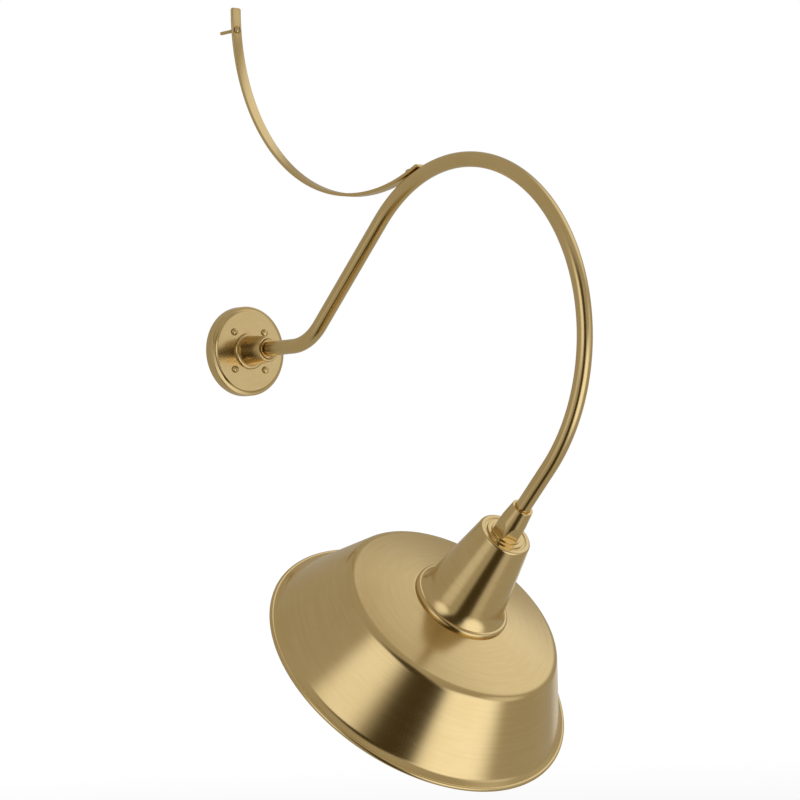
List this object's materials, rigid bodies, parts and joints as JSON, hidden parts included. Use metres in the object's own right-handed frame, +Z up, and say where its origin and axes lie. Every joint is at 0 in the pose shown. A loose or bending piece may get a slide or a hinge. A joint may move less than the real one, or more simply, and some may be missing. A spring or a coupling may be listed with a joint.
{
  "type": "gooseneck wall sconce",
  "caption": "Outdoor style wall light: round wall plate and hub, bent tube arm with a flat brace strap, and a wide cone shade with a tapered neck, tilted towards the wall.",
  "frame": {"origin": "centre of the wall plate's back, on the wall plane", "axes": "+Y into the wall, +Z up, +X to the right seen from the room; the light stands out along -Y"},
  "size_m": [0.4064, 0.7119, 1.0197],
  "materials": {
    "satin_brass": "satin, brushed",
    "zinc_steel": "zinc plated",
    "gasket_rubber": "matt",
    "black_plastic": "matt",
    "terminal_brass": "plain",
    "lead_brown": "insulated wire",
    "lead_blue": "insulated wire",
    "lead_green": "insulated wire",
    "tinned_copper": "bright",
    "white_porcelain": "glazed porcelain",
    "plated_shell": "nickel plated",
    "lamp_insulator": "black glass",
    "lamp_housing": "satin white",
    "led_board": "white board",
    "opal_cover": "opal"
  },
  "bodies": {
    "sconce": {"wall_plate": "satin_brass", "plate_gasket": "gasket_rubber", "plate_screws": "satin_brass", "arm_hub": "satin_brass", "hub_locknut": "zinc_steel", "gooseneck_tube": "satin_brass", "brace_strap": "satin_brass", "brace_wall_screw": "satin_brass", "brace_arm_screw": "satin_brass", "arm_insert": "terminal_brass", "terminal_block": "black_plastic", "terminal_clamps": "terminal_brass", "terminal_screws": "zinc_steel", "terminal_block_screw": "zinc_steel", "live_lead": "lead_brown", "neutral_lead": "lead_blue", "earth_lead": "lead_green", "earth_lug": "tinned_copper", "earth_screw": "zinc_steel", "arm_coupling": "satin_brass", "coupling_seat_ring": "satin_brass", "shade_neck": "satin_brass", "shade": "satin_brass", "shade_clamp_ring": "zinc_steel", "shade_clamp_screws": "zinc_steel", "threaded_nipple": "zinc_steel", "nipple_nuts": "zinc_steel", "nipple_bushing": "black_plastic", "socket_bracket": "zinc_steel", "socket_bracket_screws": "zinc_steel", "socket_body": "white_porcelain", "socket_screw_shell": "plated_shell", "socket_shell_rivets": "plated_shell", "socket_centre_contact": "terminal_brass"},
    "lamp": {"lamp_contact": "plated_shell", "lamp_insulator": "lamp_insulator", "lamp_cap": "plated_shell", "lamp_housing": "lamp_housing", "lamp_led_board": "led_board", "lamp_globe": "opal_cover"}
  },
  "joints": [
    {"name": "lamp_unscrew", "type": "slide", "parent": "sconce", "child": "lamp", "axis": [0, 0.7266, -0.6871], "range_m": [0, 0.21]}
  ]
}
